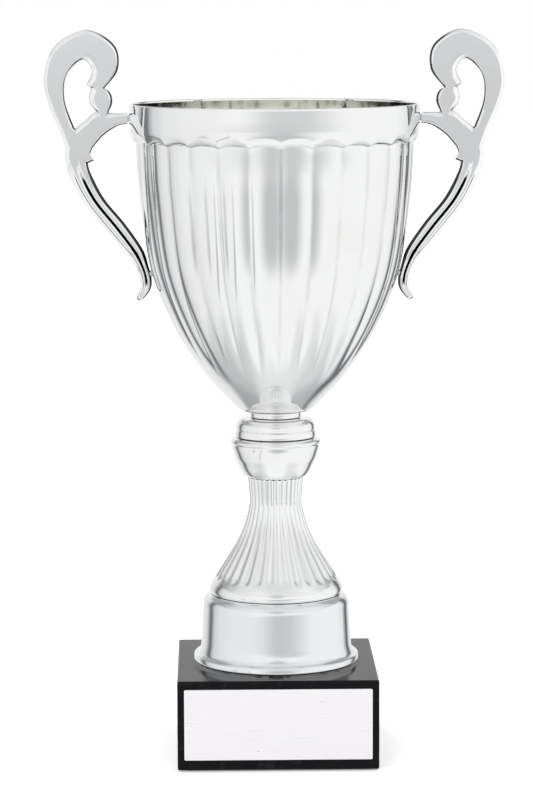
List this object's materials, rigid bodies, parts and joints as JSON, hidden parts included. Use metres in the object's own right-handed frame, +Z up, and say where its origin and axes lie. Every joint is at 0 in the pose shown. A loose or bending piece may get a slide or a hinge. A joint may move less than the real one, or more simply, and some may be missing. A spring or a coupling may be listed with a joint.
{
  "type": "cup trophy",
  "caption": "Two-handled fluted cup on a flaring stem and round foot, bolted to a square polished stone block with a blank engraving plate.",
  "frame": {"origin": "centre of the underside of the felt pad", "axes": "+Z up along the tie rod, the engraving plate faces -Y, the handles lie along +X and -X"},
  "size_m": [0.1828, 0.1158, 0.2915],
  "materials": {
    "bowl_metal": "mirror-polished silver plate",
    "foot_metal": "mirror-polished silver plate",
    "handle_metal": "polished cast metal, silver-plated",
    "plate_metal": "brushed along its length, clear lacquer",
    "fastener_steel": "zinc-plated steel",
    "stone": "black marble, polished",
    "felt": "pressed felt",
    "rubber": "soft black rubber",
    "adhesive": "thin foam tape",
    "fibre": "red vulcanised fibre"
  },
  "bodies": {
    "root": {"marble_base": "stone", "felt_pad": "felt", "plate_adhesive": "adhesive", "engraving_plate": "plate_metal", "base_washer": "fastener_steel", "base_nut": "fastener_steel", "tie_rod": "fastener_steel", "foot_gasket": "rubber", "foot_skirt": "foot_metal", "stem_bell": "foot_metal", "knop_bulb": "foot_metal", "knop_cap": "foot_metal", "neck_collar": "foot_metal", "bowl": "bowl_metal", "bowl_seal": "fibre", "bowl_washer": "fastener_steel", "cap_nut": "fastener_steel", "handle_right": "handle_metal", "screw_right_upper": "fastener_steel", "screw_washer_right_upper": "fastener_steel", "screw_right_lower": "fastener_steel", "screw_washer_right_lower": "fastener_steel", "handle_left": "handle_metal", "screw_left_upper": "fastener_steel", "screw_washer_left_upper": "fastener_steel", "screw_left_lower": "fastener_steel", "screw_washer_left_lower": "fastener_steel"}
  },
  "joints": []
}
